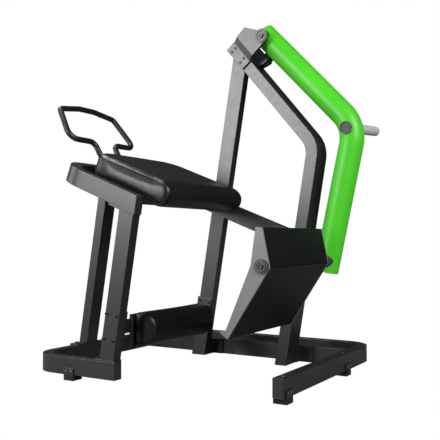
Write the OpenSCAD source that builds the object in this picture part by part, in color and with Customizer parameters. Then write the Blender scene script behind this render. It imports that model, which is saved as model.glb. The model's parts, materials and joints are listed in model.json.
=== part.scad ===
// Plate-loaded rear-kick (glute) machine: fixed frame, swinging lever arm, pivoting footplate.
// Units are millimetres, +Z up. X runs from the handle end (-) to the lever end (+), Y runs
// from the near leg (-) to the weight horn (+). The floor is Z = 0.

/* [Base] */
// height of the rectangular frame tube
tube_h = 80; // [70:1:90]
// width of the rectangular frame tube
tube_w = 50; // [46:1:54]
// wall of the rectangular frame tube
wall = 3; // [2:0.5:4]
// clearance between the floor and the base tubes
foot_h = 25; // [20:1:30]
// outer radius of the bent base corners
corner_r = 140; // [125:1:150]
// overall length of the base ring
base_len = 1311; // [1305:1:1320]
// overall width of the base ring
base_wide = 1161; // [1150:1:1180]

/* [Posts] */
// lean of the upright posts from vertical
lean = 9.4; // [8.5:0.1:10]
// thickness of the rear column in its bending plane
column_t = 60; // [56:1:62]
// width of the rear column across the machine
column_w = 120; // [116:1:120]
// slope of the top rails below horizontal
rail_slope = 21.3; // [20.8:0.1:21.8]

/* [Lever arm] */
// outside diameter of the lever arm tube
arm_d = 118; // [114:1:119]
// centreline radius of the lever arm elbow
arm_bend_r = 175; // [165:1:185]
// diameter of the weight horn
horn_d = 50; // [48:1:51]
// length of the weight horn beyond the arm
horn_len = 316; // [300:2:325]
// diameter of the arm's top pivot shaft
shaft_d = 30; // [26:1:32]
// diameter of the footplate's shaft
foot_shaft_d = 32; // [28:1:34]
// radial running clearance of both pivots
running_gap = 0.05; // [0.02:0.01:0.09]

/* [Pads] */
// thickness of the chest pad
chest_t = 120; // [112:1:124]
// width of the chest pad
chest_w = 684; // [660:1:690]
// thickness of the knee pad from its board to its nose
knee_t = 125; // [118:1:128]
// width of the knee pad
knee_w = 560; // [520:1:566]

/* [Handle] */
// outside diameter of the handle tube
handle_d = 29; // [27:1:31]

/* [Hidden] */
$fn = 48;

base_z0 = foot_h;
base_z1 = foot_h + tube_h;
front_x = -base_len;
near_y = -71;
far_y = near_y + base_wide;
near_leg_end = -794;
beam_y = 806;
post_y = 705;
column_y = 645;
lean_tan = tan(lean);

// rail frame: origin on the top face of the sloping rails, s runs down the slope
rail_ref = [-852.2, 0, 911.1];
rail_y_far = 705;
rail_corner_r = 170;
rail_front_s = -320;
rail_near_end_s = 194;
rail_link_end_s = 640;

// upright centre lines, each as X at a reference height
near_post_x = -838;
near_post_zref = 121;
mid_post_x = -853.5;
mid_post_zref = 26;
far_post_x = -1286;
far_post_zref = 113;
far_post_y = 271;
column_x = -216.5;
column_zref = 721;

// upper part of the rear column: direction and plane through its centreline
upper_tilt = 40;
column_plane = 596;
column_bend_r = 130;
column_top_z = 1653;

// lever arm in its own vertical plane
arm_y = 705;
arm_low_lean = 12.1;
arm_up_tilt = 43.4;
elbow = [40, 1192];
pivot = [-418.5, 1675];
foot_pivot = [-73, 545];
arm_end_z = 493;
horn_rise = 5.1;

// footplate
foot_y0 = -48;
foot_y1 = 556;
foot_wall = 8;
sheet_t = 4;

bolt_head_d = 17;
bolt_head_h = 8;

bend_half = (arm_low_lean + arm_up_tilt) / 2;
bend_mid = (arm_up_tilt - arm_low_lean) / 2;
arm_centre = [
    elbow[0] - arm_bend_r / cos(bend_half) * cos(bend_mid),
    elbow[1] - arm_bend_r / cos(bend_half) * sin(bend_mid)
];

function lean_x(x, zref, z) = x + (z - zref) * lean_tan;
function rail_x(s, t) = rail_ref[0] + s * cos(rail_slope) + t * sin(rail_slope);
function rail_z(s, t) = rail_ref[2] - s * sin(rail_slope) + t * cos(rail_slope);

// ---------- helpers ----------

// a plate standing in the X-Z plane between y0 and y1
module slab(y0, y1, pts) {
    translate([0, y1, 0])
        rotate([90, 0, 0])
            linear_extrude(height = y1 - y0)
                polygon(pts);
}

// a hollow box section: outer box minus a bore that runs out of both ends along one axis
module box_tube_x(x0, x1, y0, y1, z0, z1, t) {
    difference() {
        translate([x0, y0, z0])
            cube([x1 - x0, y1 - y0, z1 - z0]);
        translate([x0 - 1, y0 + t, z0 + t])
            cube([x1 - x0 + 2, y1 - y0 - 2 * t, z1 - z0 - 2 * t]);
    }
}

module box_tube_y(x0, x1, y0, y1, z0, z1, t) {
    difference() {
        translate([x0, y0, z0])
            cube([x1 - x0, y1 - y0, z1 - z0]);
        translate([x0 + t, y0 - 1, z0 + t])
            cube([x1 - x0 - 2 * t, y1 - y0 + 2, z1 - z0 - 2 * t]);
    }
}

// a quarter bend of the box section lying flat, from angle a0 to a0 + 90
module flat_bend(cx, cy, a0, r_out, w, z0, z1, t) {
    translate([cx, cy, 0])
        rotate([0, 0, a0])
            rotate_extrude(angle = 90, $fn = 96)
                difference() {
                    translate([r_out - w, z0])
                        square([w, z1 - z0]);
                    translate([r_out - w + t, z0 + t])
                        square([w - 2 * t, z1 - z0 - 2 * t]);
                }
}

// a leaning hollow post: centre line X at zref, width a along X and b along Y
module lean_post(x, zref, a, y0, y1, low, high) {
    // low and high are [z at the left edge, z at the right edge]
    half = a / 2 / cos(lean);
    inner = half - wall / cos(lean);
    function px(off, z) = lean_x(x, zref, z) + off;
    difference() {
        slab(y0, y1, [
            [px(-half, low[0]), low[0]],
            [px(half, low[1]), low[1]],
            [px(half, high[1]), high[1]],
            [px(-half, high[0]), high[0]]
        ]);
        slab(y0 + wall, y1 - wall, [
            [px(-inner, low[0] - 40), low[0] - 40],
            [px(inner, low[1] - 40), low[1] - 40],
            [px(inner, high[1] + 120), high[1] + 120],
            [px(-inner, high[0] + 120), high[0] + 120]
        ]);
    }
}

// places children in the sloping rail frame
module on_rail() {
    translate(rail_ref)
        rotate([0, rail_slope, 0])
            children();
}

// a round-headed socket bolt whose head stands on a face, axis along -Y
module bolt_head_y(x, y, z, d, h) {
    translate([x, y, z])
        rotate([90, 0, 0])
            difference() {
                union() {
                    cylinder(d = d * 1.25, h = h * 0.25, $fn = 36);
                    cylinder(d = d, h = h, $fn = 36);
                }
                translate([0, 0, h * 0.5])
                    cylinder(d = d * 0.5, h = h, $fn = 6);
            }
}

// ---------- base ----------

module base_near_leg() {
    color("#26262a") {
        box_tube_x(front_x + corner_r, near_leg_end, near_y, near_y + tube_w, base_z0, base_z1, wall);
        flat_bend(front_x + corner_r, near_y + corner_r, 180, corner_r, tube_w, base_z0, base_z1, wall);
    }
}

module base_front_tube() {
    color("#26262a")
        box_tube_y(front_x, front_x + tube_w, near_y + corner_r, far_y - corner_r, base_z0, base_z1, wall);
}

module base_back_leg() {
    color("#26262a") {
        flat_bend(front_x + corner_r, far_y - corner_r, 90, corner_r, tube_w, base_z0, base_z1, wall);
        box_tube_x(front_x + corner_r, -corner_r, far_y - tube_w, far_y, base_z0, base_z1, wall);
        flat_bend(-corner_r, far_y - corner_r, 0, corner_r, tube_w, base_z0, base_z1, wall);
    }
}

module base_rear_tube() {
    color("#26262a")
        box_tube_y(-tube_w, 0, 0, far_y - corner_r, base_z0, base_z1, wall);
}

module base_beam() {
    color("#26262a")
        box_tube_x(front_x + tube_w, -tube_w, beam_y, beam_y + tube_w, base_z0, base_z1, wall);
}

module tube_end_caps() {
    color("#151517") {
        // near leg, rear tube and near top rail each end in a pressed-in cap
        translate([near_leg_end - 12, near_y + wall + 0.2, base_z0 + wall + 0.2])
            cube([12, tube_w - 2 * wall - 0.4, tube_h - 2 * wall - 0.4]);
        translate([-tube_w + wall + 0.2, 0, base_z0 + wall + 0.2])
            cube([tube_w - 2 * wall - 0.4, 12, tube_h - 2 * wall - 0.4]);
        intersection() {
            on_rail()
                translate([rail_near_end_s - 20, near_y + wall + 0.2, -tube_h + wall + 0.2])
                    cube([60, tube_w - 2 * wall - 0.4, tube_h - 2 * wall - 0.4]);
            slab(near_y, near_y + tube_w, near_rail_cut(-12, 0));
        }
    }
}

plate_x0 = -688;
plate_x1 = -422;

module name_plate() {
    color("#3c3e42")
        difference() {
            translate([plate_x0, beam_y - 4, base_z0 + 3])
                cube([plate_x1 - plate_x0, 4, tube_h - 8]);
            translate([plate_x0 + 6, beam_y - 5, base_z0 + 9])
                cube([plate_x1 - plate_x0 - 12, 3, tube_h - 20]);
        }
}

foot_len = 57;
foot_margin = 6;

// foot places: [x, y, direction the tube runs]
foot_near = [-1060.5, near_y + tube_w / 2];
foot_back = [-1060.5, far_y - tube_w / 2];
foot_rear_near = [-tube_w / 2, 45.5];
foot_rear_far = [-tube_w / 2, 699.5];

module foot_pads() {
    color("#111113")
        difference() {
            union() {
                for (p = [foot_near, foot_back])
                    translate([p[0] - foot_len / 2, p[1] - tube_w / 2 - foot_margin, 0])
                        cube([foot_len, tube_w + 2 * foot_margin, foot_h]);
                for (p = [foot_rear_near, foot_rear_far])
                    translate([p[0] - tube_w / 2 - foot_margin, p[1] - foot_len / 2, 0])
                        cube([tube_w + 2 * foot_margin, foot_len, foot_h]);
            }
            // shallow tread grooves under each foot
            for (p = [foot_near, foot_back])
                for (k = [-1:1])
                    translate([p[0] + k * 14 - 2, p[1] - tube_w, -1])
                        cube([4, 2 * tube_w, 3]);
            for (p = [foot_rear_near, foot_rear_far])
                for (k = [-1:1])
                    translate([p[0] - tube_w, p[1] + k * 14 - 2, -1])
                        cube([2 * tube_w, 4, 3]);
        }
}

clip_h = 32;

module foot_clips() {
    color("#1d1d20") {
        for (p = [foot_near, foot_back])
            for (side = [-1, 1])
                translate([
                    p[0] - foot_len / 2,
                    p[1] + side * (tube_w / 2 + foot_margin / 2) - foot_margin / 2,
                    foot_h
                ])
                    cube([foot_len, foot_margin, clip_h]);
        for (p = [foot_rear_near, foot_rear_far])
            for (side = [-1, 1])
                translate([
                    p[0] + side * (tube_w / 2 + foot_margin / 2) - foot_margin / 2,
                    p[1] - foot_len / 2,
                    foot_h
                ])
                    cube([foot_margin, foot_len, clip_h]);
    }
}

screw_d = 9;
screw_h = 2;

module foot_screws() {
    color("#5a5c60") {
        for (dx = [-16, 16])
            translate([foot_near[0] + dx, near_y - foot_margin, foot_h + 19])
                rotate([90, 0, 0])
                    cylinder(d = screw_d, h = screw_h, $fn = 24);
        for (dx = [-16, 16])
            translate([foot_back[0] + dx, far_y + foot_margin, foot_h + 19])
                rotate([-90, 0, 0])
                    cylinder(d = screw_d, h = screw_h, $fn = 24);
        for (p = [foot_rear_near, foot_rear_far])
            for (dy = [-16, 16])
                translate([foot_margin, p[1] + dy, foot_h + 19])
                    rotate([0, 90, 0])
                        cylinder(d = screw_d, h = screw_h, $fn = 24);
    }
}

// ---------- uprights ----------

// height at which a leaning edge meets a plane that lies a given depth below the rails' top
function meet_rail(x, zref, off, depth) =
    (rail_ref[2] - depth / cos(rail_slope) + rail_ref[0] * tan(rail_slope)
        - (x - zref * lean_tan + off) * tan(rail_slope)) / (1 + lean_tan * tan(rail_slope));

// a band of the near post's lean across the near rail's end, from d0 to d1 along X
function near_rail_cut(d0, d1) = [
    [rail_x(rail_near_end_s, 0) + d0 + 200 * lean_tan, rail_z(rail_near_end_s, 0) + 200],
    [rail_x(rail_near_end_s, 0) + d1 + 200 * lean_tan, rail_z(rail_near_end_s, 0) + 200],
    [rail_x(rail_near_end_s, 0) + d1 - 200 * lean_tan, rail_z(rail_near_end_s, 0) - 200],
    [rail_x(rail_near_end_s, 0) + d0 - 200 * lean_tan, rail_z(rail_near_end_s, 0) - 200]
];

post_half = tube_h / 2 / cos(lean);
thin_half = tube_w / 2 / cos(lean);
near_plate_t = 8;
rail_plate_t = 10;

module near_front_post() {
    color("#2b2b2f")
        lean_post(near_post_x, near_post_zref, tube_h, near_y, near_y + tube_w,
            [base_z1 + near_plate_t, base_z1 + near_plate_t],
            [meet_rail(near_post_x, near_post_zref, -post_half, tube_h + rail_plate_t),
             meet_rail(near_post_x, near_post_zref, post_half, tube_h + rail_plate_t)]);
}

module near_post_plate() {
    color("#26262a")
        translate([near_leg_end - 130, near_y, base_z1])
            cube([130, tube_w, near_plate_t]);
}

module near_rail_plate() {
    color("#26262a")
        on_rail()
            translate([57, near_y, -tube_h - rail_plate_t])
                cube([150, tube_w, rail_plate_t]);
}

far_plate_t = 10;

module far_front_post() {
    color("#2b2b2f")
        lean_post(far_post_x, far_post_zref, tube_w, far_post_y, far_post_y + tube_h,
            [base_z1 + far_plate_t, base_z1 + far_plate_t],
            [meet_rail(far_post_x, far_post_zref, -thin_half, tube_h),
             meet_rail(far_post_x, far_post_zref, thin_half, tube_h)]);
}

module far_post_plate() {
    color("#26262a")
        translate([front_x, far_post_y - 70, base_z1])
            cube([tube_w, tube_h + 85, far_plate_t]);
}

// underside of the upper column: sin * x + cos * z = plane - half thickness
under_plane = column_plane - column_t / 2;

function meet_column(x, zref, off) =
    (under_plane - sin(50) * (x - zref * lean_tan + off)) / (cos(50) + sin(50) * lean_tan);

module middle_post() {
    color("#2b2b2f")
        lean_post(mid_post_x, mid_post_zref, tube_h, post_y, post_y + tube_w,
            [base_z0, base_z0],
            [meet_column(mid_post_x, mid_post_zref, -post_half),
             meet_column(mid_post_x, mid_post_zref, post_half)]);
}

flange_t = 10;
flange_reach = 90;
flange_bolt_reach = 69;
mid_stub_x = lean_x(mid_post_x, mid_post_zref, base_z0 + tube_h / 2);
col_stub_x = lean_x(column_x, column_zref, base_z0 + tube_h / 2);
mid_flange_x = mid_stub_x;
col_flange_x = col_stub_x + 11;

// a plate bolted on the beam, and the welded stub that reaches the post from it
module flange_plate(plate_x, stub_x, post_far_y, half) {
    translate([plate_x - flange_reach, beam_y - flange_t, base_z0])
        cube([2 * flange_reach, flange_t, tube_h]);
    translate([stub_x - half, post_far_y, base_z0])
        cube([2 * half, beam_y - flange_t - post_far_y, tube_h]);
}

module middle_post_flange() {
    color("#26262a")
        flange_plate(mid_flange_x, mid_stub_x, post_y + tube_w, tube_h / 2 - 4);
}

module column_flange() {
    color("#26262a")
        flange_plate(col_flange_x, col_stub_x, column_y + column_w, column_t / 2 - 2);
}

module flange_bolts() {
    color("#17171a") {
        for (x = [mid_flange_x, col_flange_x])
            for (side = [-1, 1])
                for (dz = [24, 60])
                    bolt_head_y(x + side * flange_bolt_reach, beam_y - flange_t, base_z0 + dz, 12, 6);
        // one bolt through the far post's plate and one through the near post's
        translate([front_x + tube_w / 2, far_post_y - 48, base_z1 + far_plate_t])
            cylinder(d = 16, h = 8, $fn = 6);
        translate([near_leg_end - 111, near_y + tube_w / 2, base_z1 + near_plate_t])
            cylinder(d = 16, h = 8, $fn = 6);
    }
}

module frame_screws() {
    // small button heads on top of the tubes above the feet
    color("#5a5c60") {
        for (p = [foot_rear_near, foot_rear_far, foot_near, foot_back])
            translate([p[0], p[1], base_z1])
                cylinder(d = 9, h = 3, $fn = 24);
    }
}

// centreline point where the two straight parts of the column would cross
cross_z = (column_plane - sin(50) * (column_x - column_zref * lean_tan))
    / (cos(50) + sin(50) * lean_tan);
cross_x = lean_x(column_x, column_zref, cross_z);
col_half_bend = (lean + upper_tilt) / 2;
col_mid = (upper_tilt - lean) / 2;
col_centre = [
    cross_x - column_bend_r / cos(col_half_bend) * cos(col_mid),
    cross_z - column_bend_r / cos(col_half_bend) * sin(col_mid)
];
col_up_start = [
    col_centre[0] + column_bend_r * cos(upper_tilt),
    col_centre[1] + column_bend_r * sin(upper_tilt)
];
col_up_dir = [-sin(upper_tilt), cos(upper_tilt)];
col_up_len = (column_top_z - col_up_start[1]) / cos(upper_tilt);

// a bent tube is straight and bent lengths butted end to end, this far apart
butt_gap = 0.01;

// a straight length of the column in side view, from the point p along direction d
module column_length(p, d, n, len, t, cap) {
    half = column_t / 2;
    difference() {
        slab(column_y, column_y + column_w, [p - half * n, p + half * n,
            p + half * n + len * d, p - half * n + len * d]);
        slab(column_y + t, column_y + column_w - t, [p - (half - t) * n - d, p + (half - t) * n - d,
            p + (half - t) * n + (len - cap) * d, p - (half - t) * n + (len - cap) * d]);
    }
}

module rear_column() {
    edge = column_t / 2 / cos(lean);
    low = column_t / 2 - wall;
    n_low = [cos(lean), -sin(lean)];
    bend_foot = col_centre + column_bend_r * n_low - butt_gap * [sin(lean), cos(lean)];
    color("#2b2b2f") {
        difference() {
            slab(column_y, column_y + column_w, [
                [lean_x(column_x, column_zref, base_z0) - edge, base_z0],
                [lean_x(column_x, column_zref, base_z0) + edge, base_z0],
                bend_foot + column_t / 2 * n_low,
                bend_foot - column_t / 2 * n_low
            ]);
            slab(column_y + wall, column_y + column_w - wall, [
                [lean_x(column_x, column_zref, 0) - low / cos(lean), 0],
                [lean_x(column_x, column_zref, 0) + low / cos(lean), 0],
                bend_foot + low * n_low + 20 * [sin(lean), cos(lean)],
                bend_foot - low * n_low + 20 * [sin(lean), cos(lean)]
            ]);
        }
        translate([col_centre[0], column_y + column_w / 2, col_centre[1]])
            rotate([90, 0, 0])
                rotate([0, 0, -lean])
                    rotate_extrude(angle = lean + upper_tilt, $fn = 160)
                        translate([column_bend_r, 0])
                            difference() {
                                square([column_t, column_w], center = true);
                                square([column_t - 2 * wall, column_w - 2 * wall], center = true);
                            }
        column_length(col_up_start + butt_gap * col_up_dir, col_up_dir, col_n,
            col_up_len - butt_gap, wall, wall);
    }
}

// ---------- top rails ----------

module top_near_rail() {
    color("#303034")
        difference() {
            on_rail() {
                box_tube_x(rail_front_s + rail_corner_r, rail_near_end_s + 60, near_y, near_y + tube_w,
                    -tube_h, 0, wall);
                flat_bend(rail_front_s + rail_corner_r, near_y + rail_corner_r, 180, rail_corner_r,
                    tube_w, -tube_h, 0, wall);
            }
            slab(near_y - 1, near_y + tube_w + 1, near_rail_cut(0, 300));
        }
}

module top_front_rail() {
    color("#303034")
        on_rail()
            box_tube_y(rail_front_s, rail_front_s + tube_w, near_y + rail_corner_r,
                rail_y_far + tube_w - rail_corner_r, -tube_h, 0, wall);
}

// the far rail stops on the front face of the middle post
module top_far_rail() {
    cut_z0 = 600;
    cut_z1 = 1100;
    color("#303034")
        difference() {
            on_rail() {
                flat_bend(rail_front_s + rail_corner_r, rail_y_far + tube_w - rail_corner_r, 90,
                    rail_corner_r, tube_w, -tube_h, 0, wall);
                box_tube_x(rail_front_s + rail_corner_r, 200, rail_y_far, rail_y_far + tube_w,
                    -tube_h, 0, wall);
            }
            slab(rail_y_far - 1, rail_y_far + tube_w + 1, [
                [lean_x(mid_post_x, mid_post_zref, cut_z0) - post_half, cut_z0],
                [0, cut_z0],
                [0, cut_z1],
                [lean_x(mid_post_x, mid_post_zref, cut_z1) - post_half, cut_z1]
            ]);
        }
}

module link_rail() {
    cut_z0 = 500;
    cut_z1 = 1100;
    color("#303034")
        difference() {
            on_rail()
                box_tube_x(0, rail_link_end_s, rail_y_far, rail_y_far + tube_w, -tube_h, 0, wall);
            slab(rail_y_far - 1, rail_y_far + tube_w + 1, [
                [-1200, cut_z0],
                [lean_x(mid_post_x, mid_post_zref, cut_z0) + post_half, cut_z0],
                [lean_x(mid_post_x, mid_post_zref, cut_z1) + post_half, cut_z1],
                [-1200, cut_z1]
            ]);
            slab(rail_y_far - 1, rail_y_far + tube_w + 1, [
                [lean_x(column_x, column_zref, cut_z0) - column_t / 2 / cos(lean), cut_z0],
                [200, cut_z0],
                [200, cut_z1],
                [lean_x(column_x, column_zref, cut_z1) - column_t / 2 / cos(lean), cut_z1]
            ]);
        }
}

pad_t0 = -25;
board_t = 14;
bar_size = 40;
bar_places = [-140, 20];

module pad_cross_bars() {
    // two bars between the side rails carry the board under the chest pad, well back from its nose
    color("#26262a")
        on_rail()
            for (s = bar_places)
                box_tube_y(s, s + bar_size, near_y + tube_w, rail_y_far,
                    pad_t0 - board_t - bar_size, pad_t0 - board_t, wall);
}

// ---------- knee pad ----------

knee_c = [-818.5, 260];
knee_plate_w = 86;
knee_plate_h = 150;
knee_plate_t = 8;
knee_board_x = -819;
knee_board_t = 12;
knee_bar_w = 30;
knee_bar_h = 60;

module knee_crossbar() {
    color("#26262a")
        box_tube_y(knee_board_x - knee_bar_w, knee_board_x, near_y + tube_w + knee_plate_t,
            post_y - knee_plate_t, knee_c[1] - knee_bar_h / 2 - 10, knee_c[1] + knee_bar_h / 2 - 10, wall);
}

// a point of the bolted plates, turned with the lean of the posts
function knee_pt(a, b) = [
    knee_c[0] + a * cos(lean) + b * sin(lean),
    knee_c[1] - a * sin(lean) + b * cos(lean)
];

module lean_plate(y0, y1) {
    w = knee_plate_w / 2;
    h = knee_plate_h / 2;
    slab(y0, y1, [knee_pt(-w, -h), knee_pt(w, -h), knee_pt(w, h), knee_pt(-w, h)]);
}

module knee_end_plates() {
    color("#26262a") {
        lean_plate(near_y + tube_w, near_y + tube_w + knee_plate_t);
        lean_plate(post_y - knee_plate_t, post_y);
    }
}

module knee_bolts() {
    color("#17171a")
        for (a = [-27, 27])
            for (b = [-56, 56]) {
                p = knee_pt(a, b);
                bolt_head_y(p[0], near_y, p[1], bolt_head_d - 4, bolt_head_h);
                bolt_head_y(p[0], post_y - knee_plate_t, p[1], bolt_head_d - 4, bolt_head_h);
            }
}

knee_y0 = 60;
knee_top_z = 313;
knee_back_low_z = 147;
knee_nose = 60;
// the nose is two arcs of the same radius, the lower one this much further down
knee_drop = 25;
// slope of the pad's underside
knee_rise = 16;

module knee_board() {
    color("#1b1b1d")
        translate([knee_board_x, knee_y0 + 8, knee_back_low_z + 8])
            cube([knee_board_t, knee_w - 16, knee_top_z - knee_back_low_z - 16]);
}

module knee_pad() {
    // section: flat back on its board, level top, rounded nose toward +X, rising underside
    back = knee_board_x + knee_board_t;
    nose_x = back + knee_t - knee_nose;
    high_z = knee_top_z - knee_nose;
    low_z = high_z - knee_drop;
    foot = [nose_x + knee_nose * sin(knee_rise), low_z - knee_nose * cos(knee_rise)];
    color("#18181b")
        translate([0, knee_y0 + knee_w, 0])
            rotate([90, 0, 0])
                linear_extrude(height = knee_w)
                    union() {
                        polygon([
                            [back, foot[1] - (foot[0] - back) * tan(knee_rise)],
                            foot,
                            [nose_x + knee_nose, low_z],
                            [nose_x + knee_nose, high_z],
                            [nose_x, knee_top_z],
                            [back, knee_top_z]
                        ]);
                        translate([nose_x, high_z])
                            circle(r = knee_nose, $fn = 96);
                        translate([nose_x, low_z])
                            circle(r = knee_nose, $fn = 96);
                    }
}

// ---------- chest pad ----------

pad_s0 = -205;
pad_s1 = 305;
pad_y0 = 0;
pad_corner_r = 120;
pad_front_r = 18;
board_s0 = -145;
board_s1 = 105;

module chest_board() {
    color("#3a2c1e")
        on_rail()
            translate([board_s0, pad_y0 + 20, pad_t0 - board_t])
                cube([board_s1 - board_s0, chest_w - 40, board_t]);
}

// section along the slope: a small radius on the upper front edge, a half-round lower end
module chest_profile() {
    len = pad_s1 - pad_s0;
    nose_r = chest_t / 2;
    union() {
        square([len - nose_r, chest_t - pad_front_r]);
        translate([pad_front_r, 0])
            square([len - nose_r - pad_front_r, chest_t]);
        translate([pad_front_r, chest_t - pad_front_r])
            circle(r = pad_front_r, $fn = 72);
        translate([len - nose_r, nose_r])
            circle(r = nose_r, $fn = 128);
    }
}

module chest_plan() {
    r = pad_corner_r;
    len = pad_s1 - pad_s0;
    union() {
        translate([r, 0])
            square([len - r, chest_w]);
        translate([0, r])
            square([r, chest_w - 2 * r]);
        for (y = [r, chest_w - r])
            translate([r, y])
                circle(r = r, $fn = 96);
    }
}

module chest_pad() {
    color("#18181b")
        on_rail()
            translate([pad_s0, pad_y0, pad_t0])
                intersection() {
                    translate([0, chest_w, 0])
                        rotate([90, 0, 0])
                            linear_extrude(height = chest_w)
                                chest_profile();
                    linear_extrude(height = chest_t)
                        chest_plan();
                }
}

// ---------- handle ----------

handle_c = 330;
handle_r = handle_d / 2;
ball_extra = 0.4;
// half of the loop, [x, distance from its middle, z], from the front rail to the bend of the top bar
handle_path = [
    [-1119, 70, 1008],
    [-1186, 77, 1129],
    [-1198, 98, 1149],
    [-1200, 218, 1150],
    [-1206, 245, 1158],
    [-1221, 251, 1178],
    [-1304, 214, 1299],
    [-1315, 190, 1316],
    [-1322, 57, 1336]
];

// a straight length of round bar between two points
module rod(a, b, r) {
    d = b - a;
    translate(a)
        rotate([0, acos(d[2] / norm(d)), atan2(d[1], d[0])])
            cylinder(r = r, h = norm(d), $fn = 32);
}

function handle_at(k, side) =
    [handle_path[k][0], handle_c + side * handle_path[k][1], handle_path[k][2]];

module handle_loop() {
    last = len(handle_path) - 1;
    color("#202024")
        difference() {
            union() {
                for (side = [-1, 1]) {
                    for (k = [0:last - 1])
                        rod(handle_at(k, side), handle_at(k + 1, side), handle_r);
                    for (k = [1:last])
                        translate(handle_at(k, side))
                            sphere(r = handle_r + ball_extra, $fn = 32);
                }
                rod(handle_at(last, -1), handle_at(last, 1), handle_r);
            }
            // the legs end on the top face of the front rail
            on_rail()
                translate([-500, 0, -200])
                    cube([600, 700, 200]);
        }
}

// ---------- top of the column ----------

col_top_end = col_up_start + col_up_dir * col_up_len;
top_plate_len = 143;
top_plate_t = 10;
col_n = [cos(upper_tilt), sin(upper_tilt)];

// a point near the column's upper end: a back along the column, b out from its centreline
function col_pt(a, b) = [
    col_top_end[0] - a * col_up_dir[0] + b * col_n[0],
    col_top_end[1] - a * col_up_dir[1] + b * col_n[1]
];

module column_top_plate() {
    color("#3a3a3e")
        slab(column_y - top_plate_t, column_y, [
            col_pt(-2, -29), col_pt(top_plate_len, -29), col_pt(top_plate_len, 29), col_pt(-2, 29)
        ]);
}

module column_top_bolts() {
    color("#17171a")
        for (a = [28, 106])
            for (b = [-15, 13]) {
                p = col_pt(a, b);
                bolt_head_y(p[0], column_y - top_plate_t, p[1], 12, 6);
            }
}

ear_y0 = 616;
ear_y1 = 631;
boss_d = 72;
// height of the ear's lower edge above the column's centreline
ear_foot = 60.5;
web_len = 139;
box_y_near = 700;
box_y_far = 760;
stop_top = 85;

// children drawn in the column's section, [out from its centreline, y], z up the column
module on_column_top() {
    translate([col_top_end[0], 0, col_top_end[1]])
        rotate([0, -upper_tilt, 0])
            children();
}

module pivot_bracket() {
    color("#3a3a3e") {
        difference() {
            union() {
                // five-sided ear with a round boss that carries the pivot shaft
                slab(ear_y0, ear_y1, [
                    col_pt(2, ear_foot), [-517, 1734], [-434, 1705], pivot, [-396, 1649],
                    col_pt(2 + web_len, ear_foot)
                ]);
                translate([pivot[0], ear_y1, pivot[1]])
                    rotate([90, 0, 0])
                        cylinder(d = boss_d, h = ear_y1 - ear_y0, $fn = 96);
                // sloping web that joins the ear to the edge of the bolted plate
                on_column_top()
                    translate([0, 0, -2 - web_len])
                        linear_extrude(height = web_len)
                            polygon([
                                [column_t / 2 - 1, column_y - top_plate_t],
                                [ear_foot, ear_y0 + 0.4],
                                [ear_foot + 4, ear_y0 + 0.4],
                                [ear_foot + 4, ear_y0 + top_plate_t],
                                [ear_foot, ear_y0 + top_plate_t],
                                [column_t / 2 - 1, column_y]
                            ]);
            }
            translate([pivot[0], ear_y1 + 1, pivot[1]])
                rotate([90, 0, 0])
                    cylinder(d = shaft_d, h = ear_y1 - ear_y0 + 2, $fn = 48);
        }
        // stop box welded on the column's upper face, below the arm
        slab(box_y_near, box_y_far, [
            col_pt(60, column_t / 2), col_pt(164, column_t / 2), col_pt(172, 48),
            col_pt(180, 76), col_pt(180, stop_top), col_pt(60, stop_top)
        ]);
    }
}

// ---------- lever arm ----------

arm_r = arm_d / 2;
arm_wall = 4;
// the upper length runs this far past the top pivot and ends in a welded cap
end_reach = 44;
arm_up_dir = [-sin(arm_up_tilt), cos(arm_up_tilt)];
arm_low_dir = [sin(arm_low_lean), cos(arm_low_lean)];
arm_low_end = [
    arm_centre[0] + arm_bend_r * cos(arm_low_lean),
    arm_centre[1] - arm_bend_r * sin(arm_low_lean)
];
arm_up_start = [
    arm_centre[0] + arm_bend_r * cos(arm_up_tilt),
    arm_centre[1] + arm_bend_r * sin(arm_up_tilt)
];
arm_n = [cos(arm_up_tilt), sin(arm_up_tilt)];
arm_up_len = (pivot[1] - arm_up_start[1]) / arm_up_dir[1] + end_reach;
arm_top = arm_up_start + arm_up_dir * arm_up_len;
arm_low_len = (arm_low_end[1] - arm_end_z) / arm_low_dir[1];
arm_bottom = arm_low_end - arm_low_dir * arm_low_len;

hub_d = 58;
horn_root = [17, 1184.6];
hub_gap = 0.2;

module horn_axis() {
    translate([horn_root[0], arm_y, horn_root[1]])
        rotate([-90 + horn_rise, 0, 0])
            children();
}

// cylinders that cut the holes for the hub, the horn and the footplate's shaft
module cross_hole(p, d) {
    translate([p[0], arm_y + 100, p[1]])
        rotate([90, 0, 0])
            cylinder(d = d + 2 * hub_gap, h = 200, $fn = 72);
}

module horn_hole() {
    horn_axis()
        translate([0, 0, -100])
            cylinder(d = horn_d + 2 * hub_gap, h = 200, $fn = 72);
}

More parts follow.
